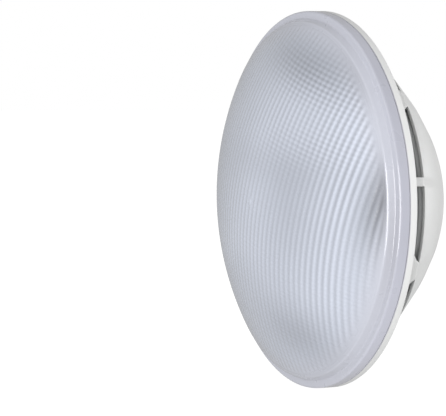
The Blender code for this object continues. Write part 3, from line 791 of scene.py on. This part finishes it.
inner_finish = {
    "lens_seal": M_SEAL,
    "reflector_ring": M_REFLECT,
    "heat_spreader": M_ALU,
    "thermal_pad": moulded("thermal_pad", (0.42, 0.47, 0.52), 0.7, grain=0.00002, tone=0.08, mottle=200.0),
    "led_board": board("led_board_mask", (0.80, 0.81, 0.79), (0.70, 0.71, 0.69)),
    "driver_board": board("driver_board_mask", (0.03, 0.17, 0.08), (0.06, 0.27, 0.12)),
    "receiver_module": board("receiver_mask", (0.03, 0.08, 0.26), (0.07, 0.15, 0.36)),
    "receiver_antenna": glossy("lead_black", (0.03, 0.03, 0.03), 0.42),
    "led_lead_red": glossy("lead_red", (0.50, 0.03, 0.025), 0.42),
    "led_lead_green": glossy("lead_green", (0.03, 0.30, 0.07), 0.42),
    "led_lead_blue": glossy("lead_blue", (0.03, 0.08, 0.40), 0.42),
    "bridge_rectifier": moulded("component_epoxy", (0.035, 0.035, 0.036), 0.5, grain=0.00002, tone=0.15, mottle=400.0),
    "choke_coil": metal("choke_copper", (0.60, 0.27, 0.12), 0.30, turned=False, tint=(0.42, 0.17, 0.07)),
    "filter_capacitor_1": glossy("capacitor_sleeve", (0.045, 0.055, 0.085), 0.3),
    "terminal_nut_left": M_BRASS,
}
inner_finish["led_lead_common"] = inner_finish["supply_lead_left"] = inner_finish["supply_lead_right"] = inner_finish["receiver_antenna"]
inner_finish["filter_capacitor_2"] = inner_finish["filter_capacitor_1"]
inner_finish["terminal_nut_right"] = M_BRASS
inner_finish["control_chip"] = inner_finish["bridge_rectifier"]
for k in range(1, 4):
    inner_finish["led_driver_%d" % k] = inner_finish["bridge_rectifier"]
    inner_finish["driver_screw_%d" % k] = M_STEEL
for k in range(1, 5):
    inner_finish["board_screw_%d" % k] = M_STEEL
m = Mat("led_package").set(IOR=1.5, Coat_Weight=0.4, Coat_Roughness=0.05)
m.colour(m.ramp(m.noise(500.0, 2.0), [(0.35, (0.84, 0.80, 0.62)), (0.65, (0.90, 0.88, 0.78))]))
m.roughness(m.ranged(m.noise(700.0), 0.3, 0.7, 0.16, 0.3))
for k in range(1, 13):
    inner_finish["led_%d" % k] = m.m

for name, mat in inner_finish.items():
    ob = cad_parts[name]
    ob.data.materials.clear()
    ob.data.materials.append(mat)
    ob.data.shade_smooth()
    ob.data.set_sharp_from_angle(angle=math.radians(30.0))

# =====================================================================
# stage, light and camera
# =====================================================================
floor_mat = Mat("floor_paper")
floor_mat.colour(floor_mat.ramp(floor_mat.noise(3.0, 2.0), [(0.3, (0.30, 0.30, 0.30)), (0.7, (0.33, 0.33, 0.33))]))
floor_mat.set(Roughness=0.8, Emission_Color=(1.0, 1.0, 1.0), Emission_Strength=0.86)
bm = bmesh.new()
bmesh.ops.create_circle(bm, cap_ends=True, segments=96, radius=6.0)
floor = to_object(bm, "floor", floor_mat.m)
floor.location = (0.0, 0.0, -0.08895)
floor.visible_diffuse = floor.visible_glossy = floor.visible_transmission = floor.visible_shadow = False

world = bpy.data.worlds.new("studio")
bpy.context.scene.world = world
world.use_nodes = True
nt = world.node_tree
bg = nt.nodes["Background"]
bg.inputs["Color"].default_value = (1.0, 1.0, 1.0, 1.0)
bg.inputs["Strength"].default_value = 0.585
bright = nt.nodes.new("ShaderNodeBackground")
bright.inputs["Color"].default_value = (1.0, 1.0, 1.0, 1.0)
bright.inputs["Strength"].default_value = 1.0
path = nt.nodes.new("ShaderNodeLightPath")
mixer = nt.nodes.new("ShaderNodeMixShader")
# the room is a little darker on the lamp's -X side
where = nt.nodes.new("ShaderNodeTexCoord")
axes = nt.nodes.new("ShaderNodeSeparateXYZ")
fall = nt.nodes.new("ShaderNodeMapRange")
fall.interpolation_type = "SMOOTHSTEP"
fall.inputs["From Min"].default_value = -1.0
fall.inputs["From Max"].default_value = 0.1
fall.inputs["To Min"].default_value = 0.75
fall.inputs["To Max"].default_value = 1.0
nt.links.new(where.outputs["Generated"], axes.inputs[0])
nt.links.new(axes.outputs["X"], fall.inputs["Value"])
nt.links.new(fall.outputs["Result"], bg.inputs["Color"])
nt.links.new(path.outputs["Is Camera Ray"], mixer.inputs[0])
nt.links.new(bg.outputs[0], mixer.inputs[1])
nt.links.new(bright.outputs[0], mixer.inputs[2])
nt.links.new(mixer.outputs[0], nt.nodes["World Output"].inputs["Surface"])


def softbox(name, azimuth, elevation, distance, width, height, radiance, colour=(1, 1, 1)):
    """Rectangular area light that faces the lamp; azimuth 0 is straight ahead of the lens, 90 is +X."""
    a, e = math.radians(azimuth), math.radians(elevation)
    pos = Vector((math.sin(a) * math.cos(e), -math.cos(a) * math.cos(e), math.sin(e))) * distance
    data = bpy.data.lights.new(name, "AREA")
    data.shape = "RECTANGLE"
    data.size, data.size_y = width, height
    data.energy = radiance * math.pi * width * height
    data.color = colour
    ob = bpy.data.objects.new(name, data)
    ob.location = pos
    ob.rotation_euler = (-pos).to_track_quat("-Z", "Y").to_euler()
    bpy.context.scene.collection.objects.link(ob)
    return ob


softbox("key_softbox", 40.0, -3.0, 1.6, 1.15, 1.2, 3.9)
softbox("side_softbox", 86.0, 3.0, 1.7, 0.5, 1.0, 1.6)
softbox("fill_softbox", 162.0, 5.0, 1.8, 1.3, 1.3, 2.0)

right = Vector((0.45050942, 0.89277065, -0.00135401))
up = Vector((-0.04444737, 0.02394371, 0.99872475))
forward = Vector((-0.89166456, 0.44987473, -0.05046817))
cam_data = bpy.data.cameras.new("camera")
cam_data.sensor_width = 36.0
cam_data.lens = 3391.2 / 446.0 * 36.0
cam_data.clip_end = 50.0
cam = bpy.data.objects.new("camera", cam_data)
cam.matrix_world = Matrix((
    (right.x, up.x, -forward.x, 1.406474),
    (right.y, up.y, -forward.y, -0.762905),
    (right.z, up.z, -forward.z, 0.076769),
    (0.0, 0.0, 0.0, 1.0)))
bpy.context.scene.collection.objects.link(cam)
bpy.context.scene.camera = cam
bpy.context.scene.view_settings.view_transform = "Standard"
